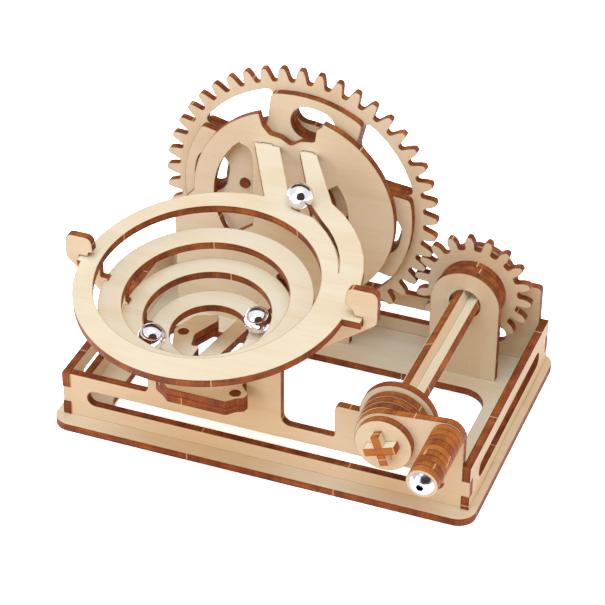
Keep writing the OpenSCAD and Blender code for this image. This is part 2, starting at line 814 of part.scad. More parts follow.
// Half of the angle of a tooth at radius r, for an involute flank
function involute(a) = tan(a) * 180 / PI - a;
function tooth_half(r, pitch_r, teeth) =
    let (base_r = pitch_r * cos(pressure_angle))
    let (at_pitch = 90 / teeth - tooth_play / 4 / pitch_r * 180 / PI)
    at_pitch + involute(pressure_angle) - involute(acos(min(1, base_r / max(r, base_r))));

// Outline of a spur gear with rounded tips and roots
module gear_outline(teeth, phase) {
    pitch_r = module_size * teeth / 2;
    tip = pitch_r + tooth_above;
    root = pitch_r - tooth_below;
    low = max(root + 0.8, pitch_r * cos(pressure_angle));
    function at(r, i, side) = on_circle(r, phase + 360 * i / teeth + side * tooth_half(r, pitch_r, teeth));
    function corner(r, i, side, radius) = [at(r, i, side).x, at(r, i, side).y, radius];
    outline([for (i = [0:teeth - 1]) each [
        corner(root, i, -1, 0.9), corner(low, i, -1, 0), corner(pitch_r, i, -1, 0), corner(tip, i, -1, 0.8),
        corner(tip, i, 1, 0.8), corner(pitch_r, i, 1, 0), corner(low, i, 1, 0), corner(root, i, 1, 0.9)
    ]]);
}

lobe_angles = [for (i = [0:3]) lobe_angle + 90 * i];

// Plate with four lobes, drawn round as one outline
module wheel_disc() {
    half = lobe_span / 2;
    foot = half + lobe_flare;
    steps = 8;
    outline([for (a = lobe_angles) each [
        [each on_circle(wheel_plate_r, a - foot), lobe_root],
        [each on_circle(lobe_r, a - half), lobe_corner],
        for (i = [1:steps - 1]) [each on_circle(lobe_r, a - half + lobe_span * i / steps), 0],
        [each on_circle(lobe_r, a + half), lobe_corner],
        [each on_circle(wheel_plate_r, a + foot), lobe_root],
        [each on_circle(wheel_plate_r, a + 45), 0]
    ]]);
}

// Window of the toothed wheel, between two lobes and the ring that bears the teeth
module wheel_window() {
    half = 45 - lobe_span / 2;
    foot = half - lobe_flare;
    steps = 6;
    outline([
        [each on_circle(wheel_plate_r, foot), lobe_root],
        [each on_circle(wheel_plate_r, 0), 0],
        [each on_circle(wheel_plate_r, -foot), lobe_root],
        [each on_circle(ring_inner, -half), lobe_corner],
        for (i = [1:steps - 1]) [each on_circle(ring_inner, 2 * half * i / steps - half), 0],
        [each on_circle(ring_inner, half), lobe_corner]
    ]);
}

// Ball pocket between two radii, with rounded ends
module pocket(inner, outer) {
    middle = (inner + outer) / 2;
    end_r = (outer - inner) / 2;
    half = pocket_span / 2 - end_r / middle * 180 / PI;
    between = [-half / 2, 0, half / 2];
    polygon(concat(
        [for (a = between) on_circle(outer, a)],
        arc_points(on_circle(middle, half), end_r, half, 180),
        [for (a = between) on_circle(inner, -a)],
        arc_points(on_circle(middle, -half), end_r, 180 - half, 180)
    ));
}

module wheel_holes(inner, outer) {
    circle(axle_d / 2 + run_gap);
    for (a = lobe_angles) rotate(a) {
        pocket(inner, outer);
        translate([peg_circle, 0]) circle(peg_d / 2 + tab_gap);
    }
}

module wheel_plate(y, inner, outer) {
    color(birch) upright(y) translate([wheel_x, wheel_z]) difference() {
        wheel_disc();
        wheel_holes(inner, outer);
    }
}

module wheel_front_plate() {
    wheel_plate(gear_y - ply, pocket_inner, pocket_outer);
}

module wheel_back_plate() {
    middle = (pocket_inner + pocket_outer) / 2 + 0.6;
    wheel_plate(gear_y + ply, middle - stop_slot / 2, middle + stop_slot / 2);
}

// Toothed wheel with its four windows between the lobes
module wheel_gear() {
    color(birch) upright(gear_y) translate([wheel_x, wheel_z]) difference() {
        gear_outline(wheel_teeth, wheel_phase);
        for (a = lobe_angles) rotate(a + 45) wheel_window();
        wheel_holes(pocket_inner, pocket_outer);
    }
}

// Pegs that pin the three plates of the wheel together
module wheel_pegs() {
    proud = 1;
    color(burnt) for (a = lobe_angles)
        on_wheel_axis(gear_y - ply - proud) rotate(-a) translate([peg_circle, 0, 0])
            cylinder(h = 3 * ply + proud, r = peg_d / 2);
}

// Puts a flat outline on the crank axis as a plate, its front face at y
module on_crank(y) {
    color(birch) upright(y) translate([crank_x, crank_z]) children();
}

// Cross-shaped hole for the shaft strips
module cross_hole() {
    rotate(crank_angle) {
        square([strip_w + 2 * tab_gap, ply + 2 * tab_gap], center = true);
        square([ply + 2 * tab_gap, strip_w + 2 * tab_gap], center = true);
    }
}

module shaft_disc(y, r) {
    on_crank(y) difference() {
        circle(r);
        cross_hole();
    }
}

// Long strip of the shaft with the slot that takes its partner
module shaft_strip(turn, slot_from, slot_to) {
    length = shaft_back_y - shaft_front_y;
    slot = ply + 2 * tab_gap;
    color(birch) translate([crank_x, shaft_front_y, crank_z]) rotate([0, -crank_angle - turn, 0]) difference() {
        translate([-strip_w / 2, 0, -ply / 2]) cube([strip_w, length, ply]);
        translate([-slot / 2, slot_from, -ply]) cube([slot, slot_to - slot_from, 2 * ply]);
    }
}

module shaft_strip_a() {
    shaft_strip(0, (shaft_back_y - shaft_front_y) / 2 - tab_gap, shaft_back_y - shaft_front_y + 1);
}

module shaft_strip_b() {
    shaft_strip(90, -1, (shaft_back_y - shaft_front_y) / 2 + tab_gap);
}

module pinion() {
    on_crank(gear_y) difference() {
        gear_outline(pinion_teeth, pinion_phase);
        cross_hole();
    }
}

module front_spacer() {
    shaft_disc(gear_y - 2 * ply, spacer_r);
}

module middle_spacer() {
    shaft_disc(gear_y - ply, spacer_r);
}

module rear_spacer() {
    shaft_disc(gear_y + ply, spacer_r);
}

module crank_disc(number) {
    shaft_disc(panel_y - crank_gap - number * ply, crank_disc_r - (number - 1) * crank_disc_step);
}

module crank_disc_1() {
    crank_disc(1);
}

module crank_disc_2() {
    crank_disc(2);
}

module crank_disc_3() {
    crank_disc(3);
}

// Arm outline: two round ends joined by their common tangents
module crank_arm() {
    lean = acos((arm_big_r - arm_small_r) / throw);
    on_crank(arm_y) difference() {
        rotate(crank_angle) polygon(concat(
            arc_points([0, 0], arm_big_r, lean, 360 - 2 * lean),
            arc_points([throw, 0], arm_small_r, -lean, 2 * lean)
        ));
        cross_hole();
        rotate(crank_angle) translate([throw, 0]) circle(screw_d / 2 + tab_gap);
    }
}

module crank_cap() {
    shaft_disc(crank_front_y, cap_r);
}

module on_grip_axis(y) {
    translate([grip_x, y, grip_z]) rotate([-90, 0, 0]) children();
}

// Button head screw through the grip and the arm
module grip_screw() {
    head_y = arm_y - grip_gap - grip_discs * ply - seat_gap - screw_head_h;
    length = arm_y + ply + nut_h + 1 - head_y;
    head_r = screw_head_d / 2;
    dome_r = (head_r * head_r + screw_head_h * screw_head_h) / 2 / screw_head_h;
    socket_depth = 1.4;
    color(steel) on_grip_axis(head_y) difference() {
        union() {
            translate([0, 0, screw_head_h / 2]) cylinder(h = length - screw_head_h / 2, r = screw_d / 2);
            intersection() {
                translate([0, 0, dome_r]) sphere(dome_r, $fn = 96);
                cylinder(h = screw_head_h, r = head_r);
            }
        }
        translate([0, 0, -1]) cylinder(h = 1 + socket_depth, d = socket_w / cos(30), $fn = 6);
    }
}

module grip_nut() {
    color(steel) on_grip_axis(arm_y + ply) difference() {
        cylinder(h = nut_h, d = nut_w / cos(30), $fn = 6);
        translate([0, 0, -1]) cylinder(h = nut_h + 2, r = screw_d / 2 + tab_gap);
    }
}

module grip_disc(number) {
    color(burnt) on_grip_axis(arm_y - grip_gap - number * ply) difference() {
        cylinder(h = ply, r = grip_r);
        translate([0, 0, -1]) cylinder(h = ply + 2, r = screw_d / 2 + run_gap);
    }
}

// Ball on the straight part of the rails, a distance along them from the rim
module ball_on_rails() {
    ball_r = ball_d / 2;
    height = sqrt(pow(ball_r + ball_gap, 2) - pow(rail_gap / 2, 2));
    color(steel) tilted() translate([gap_middle(ball_place), ball_place, height]) sphere(ball_r);
}

// Ball on a ring, against the inside of the ring above it
module bowl_ball(upper_inner, drop, angle) {
    reach = upper_inner - ball_d / 2 - ball_gap;
    height = ball_d / 2 + ball_gap - drop;
    color(steel) tilted() translate([-bowl_shift, 0, height]) rotate(angle) translate([reach, 0, 0])
        sphere(ball_d / 2);
}

module ball_in_second_ring() {
    bowl_ball(second_ring_in, 2 * ring_drop, outer_ball_angle);
}

module ball_in_third_ring() {
    bowl_ball(third_ring_in, 3 * ring_drop, inner_ball_angle);
}

base_plate();
front_panel();
back_panel();
left_side_panel();
right_side_panel();
crank_pillar();
wheel_cover();
top_ring();
second_ring();
third_ring();
low_ring();
upper_catch_plate();
lower_catch_plate();
catch_pegs();
chute();
wheel_axle();
axle_front_disc();
axle_back_disc();
wheel_front_plate();
wheel_gear();
wheel_back_plate();
wheel_pegs();
shaft_strip_a();
shaft_strip_b();
pinion();
front_spacer();
middle_spacer();
rear_spacer();
crank_disc_1();
crank_disc_2();
crank_disc_3();
crank_arm();
crank_cap();
grip_screw();
grip_nut();
grip_disc(1);  // grip_disc_1
grip_disc(2);  // grip_disc_2
grip_disc(3);  // grip_disc_3
grip_disc(4);  // grip_disc_4
grip_disc(5);  // grip_disc_5
grip_disc(6);  // grip_disc_6
grip_disc(7);  // grip_disc_7
grip_disc(8);  // grip_disc_8
grip_disc(9);  // grip_disc_9
ball_on_rails();
ball_in_second_ring();
ball_in_third_ring();
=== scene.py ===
# %% [markdown]
# # A hand-cranked marble run in laser-cut plywood
#
# The object is a small marble run put together from flat plywood pieces. A crank turns
# a pinion, the pinion turns a big toothed wheel, and the wheel lifts steel balls to two
# rails above a stepped bowl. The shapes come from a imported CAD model, so this lesson is
# about what makes flat CAD plates look like real plywood: pale faces with fine grain,
# edges browned by the laser, a thin scorched line where face and edge meet, and
# polished steel balls that mirror the room. All lengths are in metres.

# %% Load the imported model
import json
import math

import bpy
from mathutils import Matrix, Vector

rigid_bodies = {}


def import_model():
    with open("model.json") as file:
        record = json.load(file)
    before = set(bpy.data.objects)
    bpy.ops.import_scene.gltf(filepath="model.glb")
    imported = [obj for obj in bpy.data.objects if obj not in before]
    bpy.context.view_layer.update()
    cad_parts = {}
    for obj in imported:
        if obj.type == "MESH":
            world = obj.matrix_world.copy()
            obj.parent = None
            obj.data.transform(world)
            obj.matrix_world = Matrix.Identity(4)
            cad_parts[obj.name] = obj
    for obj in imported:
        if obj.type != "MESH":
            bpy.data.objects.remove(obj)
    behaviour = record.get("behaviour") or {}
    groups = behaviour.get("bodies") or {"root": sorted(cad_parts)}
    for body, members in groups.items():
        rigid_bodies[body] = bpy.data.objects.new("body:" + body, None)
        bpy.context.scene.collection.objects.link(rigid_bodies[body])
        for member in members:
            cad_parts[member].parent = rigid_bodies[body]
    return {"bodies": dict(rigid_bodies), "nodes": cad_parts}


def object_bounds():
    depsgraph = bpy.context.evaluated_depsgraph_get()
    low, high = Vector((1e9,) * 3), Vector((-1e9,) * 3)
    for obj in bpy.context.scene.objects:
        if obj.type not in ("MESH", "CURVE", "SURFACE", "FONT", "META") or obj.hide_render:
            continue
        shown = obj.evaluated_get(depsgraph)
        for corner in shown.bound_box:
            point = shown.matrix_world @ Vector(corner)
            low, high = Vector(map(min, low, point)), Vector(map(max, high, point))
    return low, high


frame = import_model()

cad_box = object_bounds()
nodes = frame["nodes"]
bodies = frame["bodies"]
print("CAD box:", [[round(x, 4) for x in corner] for corner in cad_box])
print("nodes:", len(nodes), "bodies:", sorted(bodies))

# %% [markdown]
# ## Small helpers for shader nodes
#
# A material is a tree of nodes. Written out in full, each node takes four or five lines,
# so a few small helpers keep the recipes readable: one adds a node and plugs in its
# inputs, and the others wrap the kinds used most. Nothing is hidden in a group, because a
# value that is the same all over a surface belongs on the shader's own socket.

# %% Node helpers
def add(tree, kind, inputs=None, **settings):
    """Adds one shader node. Inputs are numbers, colours or output sockets of other nodes."""
    made = tree.nodes.new("ShaderNode" + kind)
    for name, value in settings.items():
        setattr(made, name, value)
    for key, value in (inputs or {}).items():
        if isinstance(value, bpy.types.NodeSocket):
            tree.links.new(value, made.inputs[key])
        else:
            made.inputs[key].default_value = value
    return made


def calc(tree, operation, a, b=0.0, clamp=False):
    """One Math node on two numbers or sockets."""
    return add(tree, "Math", {0: a, 1: b}, operation=operation, use_clamp=clamp).outputs[0]


def dot(tree, a, b):
    """How far one direction goes along another."""
    return add(tree, "VectorMath", {0: a, 1: b}, operation="DOT_PRODUCT").outputs["Value"]


def blend_colour(tree, amount, a, b):
    """Colour a where amount is 0, colour b where it is 1."""
    return add(tree, "Mix", {0: amount, 6: a, 7: b}, data_type="RGBA").outputs[2]


def smooth(tree, value, low, high, to_low=0.0, to_high=1.0):
    """Smooth step from to_low to to_high while value goes from low to high."""
    made = add(tree, "MapRange", {0: value, 1: low, 2: high, 3: to_low, 4: to_high},
               interpolation_type="SMOOTHSTEP")
    return made.outputs[0]


def noise(tree, vector, scale, detail=3.0, roughness=0.5, distortion=0.0):
    """Soft noise with values about 0.5."""
    made = add(tree, "TexNoise", {"Vector": vector, "Scale": scale, "Detail": detail,
                                  "Roughness": roughness, "Distortion": distortion})
    return made.outputs["Fac"]


def start_material(name):
    """A new material with an empty tree and its output node."""
    made = bpy.data.materials.new(name)
    made.use_nodes = True
    tree = made.node_tree
    tree.nodes.clear()
    out = add(tree, "OutputMaterial")
    return made, tree, out


def dress(obj, finish):
    """Takes off what a piece wears and gives it one finish."""
    obj.data.materials.clear()
    obj.data.materials.append(finish)


def colour(red, green, blue):
    """A colour written as 0-255 screen values, turned into the linear values that nodes take."""
    def linear(c):
        c = c / 255
        return c / 12.92 if c <= 0.04045 else ((c + 0.055) / 1.055) ** 2.4
    return (linear(red), linear(green), linear(blue), 1.0)


print("white as linear values:", [round(c, 3) for c in colour(255, 255, 255)])

# %% [markdown]
# ## Plywood
#
# On the real kit each plate is 3 mm basswood plywood. Its broad faces are cream with
# short fine fibres. Its cut edges were burnt by the laser: dark red-brown, streaked
# through the thickness, lighter orange where the beam passed quickly. A thin
# yellow-brown line of scorch runs on the face beside each cut, and here and there a pale
# tick marks a bridge that held the piece in its sheet.
#
# One could paint this on image textures. It is written as nodes instead, so that it
# stays sharp in any close-up. The direction of the surface in the piece's own space
# tells face from edge, so a plate that turns with the crank keeps its look. Each piece
# gets its own seed, and so its own bit of the sheet.

# %% Colours of the wood
FACE = colour(239, 230, 209)
FACE_TAN = colour(231, 213, 180)
FIBRE = colour(210, 184, 146)
HALO = colour(214, 182, 116)
CHAR = colour(138, 86, 40)
BURNT_DARK = colour(102, 46, 18)
BURNT = colour(152, 78, 30)
BURNT_ORANGE = colour(194, 120, 54)
BRIDGE = colour(236, 208, 166)
PLY = 0.003            # thickness of the sheet
SCORCH_REACH = 0.0007  # how far from a cut the face is scorched
BRIDGE_WIDTH = 0.0004  # width of the pale tick that a bridge leaves on an edge
BRIDGE_STEP = 0.057    # from one tick to the next
EDGE_LIGHT = 0.35      # how light an edge is burnt, unless a piece says otherwise


def plane_axes(across, along):
    """Unit vectors of a plate: its thickness, its grain, and the third one at right angles."""
    w = Vector(across).normalized()
    u = (Vector(along) - Vector(along).dot(w) * w).normalized()
    return w, u, w.cross(u)


def lowest_along(obj, direction):
    """Where a plate begins, measured through its thickness."""
    return min(v.co.dot(direction) for v in obj.data.vertices)


palette = [FACE, FACE_TAN, FIBRE, HALO, CHAR, BURNT_DARK, BURNT, BURNT_ORANGE, BRIDGE]
print("pale and burnt colours:", len(palette))

# %% [markdown]
# The recipe measures every point of a plate in three directions: along the grain, across
# it in the plate, and through the thickness. Stretching noise along the grain gives
# fibres, and stretching it through the thickness gives the streaks of the laser. So the
# first step is a small measuring set that the other steps share.

# %% Measure a plate
class PlateSpace:
    """Where a point lies in its plate, and noise that is stretched to fit the wood."""

    def __init__(self, tree, across, along, seed):
        self.tree, self.seed = tree, seed
        w, u, v = plane_axes(across, along)
        place = add(tree, "TexCoord")
        point, normal = place.outputs["Object"], place.outputs["Normal"]
        self.pu, self.pv, self.pw = dot(tree, point, u), dot(tree, point, v), dot(tree, point, w)
        facing = calc(tree, "ABSOLUTE", dot(tree, normal, w))
        self.is_face = smooth(tree, facing, 0.86, 0.94)
        self.end_grain = calc(tree, "ABSOLUTE", dot(tree, normal, u))
        self.long_grain = calc(tree, "ABSOLUTE", dot(tree, normal, v))

    def grain(self, cells, shift, detail, roughness=0.5, distortion=0.0):
        """Noise with so many cells per metre along, across and through the plate."""
        tree = self.tree
        spread = add(tree, "CombineXYZ", {0: calc(tree, "MULTIPLY", self.pu, cells[0]),
                                          1: calc(tree, "MULTIPLY", self.pv, cells[1]),
                                          2: calc(tree, "MULTIPLY", self.pw, cells[2])})
        shift = self.seed * shift
        moved = add(tree, "VectorMath", {0: spread.outputs[0], 1: (shift, shift * 1.7, self.seed * 0.37)},
                    operation="ADD")
        return noise(tree, moved.outputs[0], 1.0, detail, roughness, distortion)


axes = [tuple(axis) for axis in plane_axes((0, 1, 0), (1, 0, 0))]
print("an upright plate is measured through, along and across by:", axes)

# %% [markdown]
# A face of basswood is nearly even. Broad bands and a soft cloud shift it between cream
# and a light tan, fine fibres run along the grain, and short pores add darker dashes.

# %% Faces
def face_wood(space):
    """Colour of the broad faces, and the fibres and pores that also give their bump."""
    tree = space.tree
    bands = space.grain((9, 130, 60), 3.1, 3, 0.55, 0.6)
    fibres = space.grain((55, 1500, 400), 5.3, 4, 0.65, 0.15)
    pores = smooth(tree, space.grain((420, 3600, 900), 7.7, 1), 0.66, 0.78)
    cloud = space.grain((30, 30, 30), 2.3, 2)
    tone = calc(tree, "ADD", smooth(tree, bands, 0.3, 0.75, -0.1, 0.45),
                smooth(tree, fibres, 0.35, 0.75, -0.08, 0.3))
    tone = calc(tree, "ADD", tone, smooth(tree, cloud, 0.3, 0.75, -0.15, 0.35), clamp=True)
    pale = blend_colour(tree, tone, FACE, FACE_TAN)
    return blend_colour(tree, calc(tree, "MULTIPLY", pores, 0.3), pale, FIBRE), fibres, pores


print("faces run from", [round(c, 2) for c in FACE[:3]], "to", [round(c, 2) for c in FACE_TAN[:3]])

# %% [markdown]
# The laser leaves the edge dark where it was slow and orange where it was quick. Streaks
# run straight through the thickness, the glue layer shows as a faint line, and both rims
# are darkest. Across the end of the grain the wood burns a little lighter on some pieces.

# %% Burnt edges
def burnt_edge(space, low, edge_light, end_light):
    """Colour of the cut edges, and the streaks that also give their bump."""
    tree = space.tree
    streaks = space.grain((1900, 1900, 260), 4.1, 3, 0.6)
    patches = space.grain((150, 150, 60), 6.9, 2)
    layers = space.grain((60, 60, 1500), 8.3, 2)
    heat = calc(tree, "ADD", smooth(tree, streaks, 0.3, 0.72, 0.1, 0.4),
                smooth(tree, patches, 0.35, 0.7, -0.1, 0.3))
    heat = calc(tree, "ADD", heat, smooth(tree, layers, 0.4, 0.7, -0.05, 0.2))
    depth = calc(tree, "DIVIDE", calc(tree, "SUBTRACT", space.pw, low), PLY)
    rim = calc(tree, "ABSOLUTE", calc(tree, "SUBTRACT", depth, 0.5))
    heat = calc(tree, "SUBTRACT", heat, smooth(tree, rim, 0.32, 0.5, 0.0, 0.5))
    heat = calc(tree, "ADD", heat, smooth(tree, space.end_grain, 0.8, 0.95, 0.0, end_light))
    heat = calc(tree, "ADD", heat, edge_light - EDGE_LIGHT, clamp=True)
    warm = add(tree, "ValToRGB", {0: heat})
    stops = warm.color_ramp.elements
    stops[0].position, stops[0].color = 0.0, BURNT_DARK
    stops[1].position, stops[1].color = 1.0, BURNT_ORANGE
    between = stops.new(0.4)
    between.color = BURNT
    return warm.outputs[0], streaks


def bridge_ticks(space, edge_colour):
    """Pale ticks at even steps along the edge, where bridges held the piece in its sheet."""
    tree = space.tree
    runs_along = calc(tree, "MULTIPLY", calc(tree, "GREATER_THAN", space.long_grain, 0.7), space.pu)
    runs_across = calc(tree, "MULTIPLY", calc(tree, "LESS_THAN", space.long_grain, 0.7), space.pv)
    steps = calc(tree, "DIVIDE", calc(tree, "ADD", runs_along, runs_across), BRIDGE_STEP)
    beat = calc(tree, "FRACT", calc(tree, "ADD", steps, space.seed * 0.618))
    tick = calc(tree, "LESS_THAN", beat, BRIDGE_WIDTH / BRIDGE_STEP)
    return blend_colour(tree, calc(tree, "MULTIPLY", tick, 0.8), edge_colour, BRIDGE)


print("ticks every", round(BRIDGE_STEP * 1000), "mm, each", round(BRIDGE_WIDTH * 1000, 1), "mm wide")

# %% [markdown]
# On the face beside each cut lies a thin charred line, then a wider pale yellow halo. The
# Bevel node finds points near an edge, because its softened normal leans away from the
# true one there. Smoke drifts, so noise makes the halo uneven.

# %% Scorched line
def scorch(space, face_colour):
    """The face with its halo, and over it the charred line that is nearer to the cut."""
    tree = space.tree
    soft = add(tree, "Bevel", {"Radius": SCORCH_REACH}, samples=6)
    hard = add(tree, "NewGeometry").outputs["Normal"]
    lean = calc(tree, "SUBTRACT", 1.0, dot(tree, soft.outputs[0], hard))
    smoke = smooth(tree, space.grain((260, 260, 260), 9.1, 2), 0.3, 0.7, 0.35, 1.0)
    halo = calc(tree, "MULTIPLY", smooth(tree, lean, 0.002, 0.12, 0.0, 0.9), smoke)
    face_colour = blend_colour(tree, halo, face_colour, HALO)
    return blend_colour(tree, smooth(tree, lean, 0.09, 0.24, 0.0, 0.85), face_colour, CHAR)


print("scorch reaches", round(SCORCH_REACH * 1000, 1), "mm in from each cut")

# %% The plywood recipe
def plywood(name, across, along, low, seed, edge_light, end_light):
    """The finish of one plate: across is through its thickness, along is its grain."""
    made, tree, out = start_material(name)
    space = PlateSpace(tree, across, along, seed)
    face_colour, fibres, pores = face_wood(space)
    face_colour = scorch(space, face_colour)
    edge_colour, streaks = burnt_edge(space, low, edge_light, end_light)
    edge_colour = bridge_ticks(space, edge_colour)

    surface = blend_colour(tree, space.is_face, edge_colour, face_colour)
    face_height = calc(tree, "SUBTRACT", calc(tree, "MULTIPLY", fibres, 0.5),
                       calc(tree, "MULTIPLY", pores, 0.5))
    height = add(tree, "Mix", {0: space.is_face, 2: streaks, 3: face_height}, data_type="FLOAT").outputs[0]
    bump = add(tree, "Bump", {"Strength": 0.35, "Distance": 0.00006, "Height": height})
    rough = smooth(tree, fibres, 0.3, 0.7, 0.52, 0.64)
    rough = add(tree, "Mix", {0: space.is_face, 2: 0.72, 3: rough}, data_type="FLOAT").outputs[0]
    shader = add(tree, "BsdfPrincipled", {"Base Color": surface, "Roughness": rough,
                                          "Normal": bump.outputs[0], "Specular IOR Level": 0.35})
    tree.links.new(shader.outputs[0], out.inputs[0])
    return made


print("plywood recipe ready")

# %% [markdown]
# ## Dressing the plates
#
# Each plate needs to know which way is through its thickness. Upright plates face the
# front, the base and the catch plates face up, the side panels face sideways, the rings
# lean with the bowl, and the two strips of the shaft stand at right angles to each other.

# %% Directions of the plates
tilt = math.radians(8)     # of the bowl, falling to the front
slope = math.radians(13)   # of the chute, falling to the wheel
arm = math.radians(19.4)   # of the crank arm, rising to the right
FRONT, UP, SIDE = (0, 1, 0), (0, 0, 1), (1, 0, 0)
BOWL = (0, -math.sin(tilt), math.cos(tilt))
CHUTE = (0, math.sin(slope), math.cos(slope))
STRIP_A = (-math.sin(arm), 0, math.cos(arm))
STRIP_B = (math.cos(arm), 0, math.sin(arm))
ARM = (math.cos(arm), 0, math.sin(arm))

plates = {
    "base_plate": (UP, SIDE), "front_panel": (FRONT, SIDE), "back_panel": (FRONT, SIDE),
    "left_side_panel": (SIDE, FRONT), "right_side_panel": (SIDE, FRONT),
    "crank_pillar": (FRONT, UP), "wheel_cover": (FRONT, SIDE), "top_ring": (BOWL, SIDE),
    "second_ring": (BOWL, SIDE), "third_ring": (BOWL, SIDE), "low_ring": (BOWL, SIDE),
    "upper_catch_plate": (UP, SIDE), "lower_catch_plate": (UP, SIDE), "chute": (CHUTE, FRONT),
    "axle_front_disc": (FRONT, SIDE), "axle_back_disc": (FRONT, SIDE),
    "wheel_front_plate": (FRONT, SIDE), "wheel_gear": (FRONT, UP), "wheel_back_plate": (FRONT, SIDE),
    "shaft_strip_a": (STRIP_A, FRONT), "shaft_strip_b": (STRIP_B, FRONT),
    "pinion": (FRONT, ARM), "front_spacer": (FRONT, SIDE), "middle_spacer": (FRONT, UP),
    "rear_spacer": (FRONT, SIDE), "crank_disc_1": (FRONT, SIDE), "crank_disc_2": (FRONT, UP),
    "crank_disc_3": (FRONT, ARM), "crank_arm": (FRONT, ARM), "crank_cap": (FRONT, SIDE),
}
GRIP_DISCS = range(1, 10)
for number in GRIP_DISCS:
    plates[f"grip_disc_{number}"] = (FRONT, (1, 0, 0.4 * number))

# Where the laser ran fast the edge is lighter: the shaft, the crank, the grip and the teeth
light_edges = {"shaft_strip_a": 0.5, "shaft_strip_b": 0.5, "crank_arm": 0.6, "crank_cap": 0.6,
               "wheel_gear": 0.45}
light_ends = {"shaft_strip_a": 0.4, "shaft_strip_b": 0.5}
for number in GRIP_DISCS:
    light_edges[f"grip_disc_{number}"] = 0.5 + 0.4 * ((number * 7) % 4) / 3

# %% Give each plate its own bit of the sheet
for seed, (name, (across, along)) in enumerate(sorted(plates.items())):
    w = plane_axes(across, along)[0]
    finish = plywood("plywood_" + name, across, along, lowest_along(nodes[name], w), seed + 1,
                     edge_light=light_edges.get(name, EDGE_LIGHT), end_light=light_ends.get(name, 0.0))
    dress(nodes[name], finish)
print("plates dressed:", len(plates))

# %% [markdown]
# ## Dowels and pegs
#
# The wheel turns on a wooden dowel, and short pegs pin its plates together. The pegs are
# burnt nearly black, the dowel is bare wood that browned at its end; the recipe gives both
# brown patches all along them. Turned wood shows its fibres along its axis, so the recipe
# stretches noise that way.

# %% Dowel recipe
def dowel(name, axis, pale, dark, seed):
    """The finish of a round peg, with fibres along its axis."""
    made, tree, out = start_material(name)
    w, u, v = plane_axes(axis, SIDE if abs(axis[0]) < 0.9 else UP)
    place = add(tree, "TexCoord")
    point = place.outputs["Object"]
    pu, pv, pw = dot(tree, point, u), dot(tree, point, v), dot(tree, point, w)
    spread = add(tree, "CombineXYZ", {0: calc(tree, "MULTIPLY", pu, 1300),
                                      1: calc(tree, "MULTIPLY", pv, 1300),
                                      2: calc(tree, "MULTIPLY", pw, 90)})
    fibres = noise(tree, spread.outputs[0], 1.0, 3, 0.6)
    patches = noise(tree, point, 260 + seed, 2, 0.5)
    amount = calc(tree, "ADD", smooth(tree, fibres, 0.3, 0.7, 0.0, 0.6),
                  smooth(tree, patches, 0.35, 0.65, -0.1, 0.4), clamp=True)
    bump = add(tree, "Bump", {"Strength": 0.4, "Distance": 0.00008, "Height": fibres})
    shader = add(tree, "BsdfPrincipled", {"Base Color": blend_colour(tree, amount, pale, dark),
                                          "Roughness": 0.7, "Normal": bump.outputs[0],
                                          "Specular IOR Level": 0.3})
    tree.links.new(shader.outputs[0], out.inputs[0])
    return made


BURNT_PEG, BURNT_PEG_DARK = colour(150, 78, 34), colour(74, 34, 18)
pegs_finish = dowel("dowel_burnt_pegs", FRONT, BURNT_PEG, BURNT_PEG_DARK, 1)
catch_pegs_finish = dowel("dowel_burnt_catch_pegs", UP, BURNT_PEG, BURNT_PEG_DARK, 2)
axle_finish = dowel("dowel_axle", FRONT, colour(214, 176, 126), colour(150, 92, 46), 3)
dress(nodes["wheel_pegs"], pegs_finish)
dress(nodes["catch_pegs"], catch_pegs_finish)
dress(nodes["wheel_axle"], axle_finish)
print("dowels dressed: 3")

# %% [markdown]
# ## Polished steel
#
# The balls are bearing balls and the screw is a plated button head. A mirror shows only
# what is round it, so most of the look comes from the white room and the dark cards that
# stand in it further down. The recipe adds very fine scratches and faint smears, so that
# it isn't a perfect mirror. The socket of the screw would mirror white too, so ambient
# occlusion darkens the metal where it sees little of the room.

# %% Steel recipe
SOCKET_REACH = 0.004
SOCKET_PAINTED_SHADE = colour(36, 34, 34)


def polished(name, tint, base_rough, seed, recess=False):
    """Polished metal. With recess, the hollows of the piece get painted shade in their colour."""
    made, tree, out = start_material(name)
    point = add(tree, "TexCoord").outputs["Object"]
    smears = noise(tree, point, 320 + 7 * seed, 3, 0.6)
    turned = add(tree, "Mapping", {"Vector": point, "Scale": (900, 5200, 900),
                                   "Rotation": (0.4 * seed, 0.3, 0.7)}).outputs[0]
    scratches = noise(tree, turned, 1.0, 2, 0.7)
    rough = calc(tree, "ADD", smooth(tree, smears, 0.35, 0.75, base_rough, base_rough + 0.05),
                 smooth(tree, scratches, 0.55, 0.8, 0.0, 0.04))
    bump = add(tree, "Bump", {"Strength": 0.02, "Distance": 0.00002, "Height": scratches})
    shader = add(tree, "BsdfPrincipled", {"Base Color": tint, "Metallic": 1.0, "Roughness": rough,
                                          "Normal": bump.outputs[0]})
    if recess:
        # Painted shade: ambient occlusion darkens the colour of the metal in the socket, where it sees
        # little of the room.
        open_sky = add(tree, "AmbientOcclusion", {"Distance": SOCKET_REACH}, samples=8, only_local=True)
        light = smooth(tree, open_sky.outputs["AO"], 0.35, 0.85)
        tree.links.new(blend_colour(tree, light, SOCKET_PAINTED_SHADE, tint), shader.inputs["Base Color"])
    tree.links.new(shader.outputs[0], out.inputs[0])
    return made


ball_finish = polished("steel_balls", colour(232, 232, 238), 0.03, 1)
screw_finish = polished("steel_screw", colour(196, 196, 204), 0.16, 2, recess=True)
for name in ("ball_on_rails", "ball_in_second_ring", "ball_in_third_ring"):
    dress(nodes[name], ball_finish)
for name in ("grip_screw", "grip_nut"):
    dress(nodes[name], screw_finish)
print("steel dressed: 5")

# %% [markdown]
# ## Floor, room and lamps
#
# The object stands on a white floor in a white room. Both are white for the camera and
# for mirrors, and the floor is so bright there that only its deepest shade still shows.
# For all other light the floor is pale tan and the room warm, while the lamps are cool.
# So tops stay cream and shaded faces go tan, as they do where plywood throws light on
# plywood.

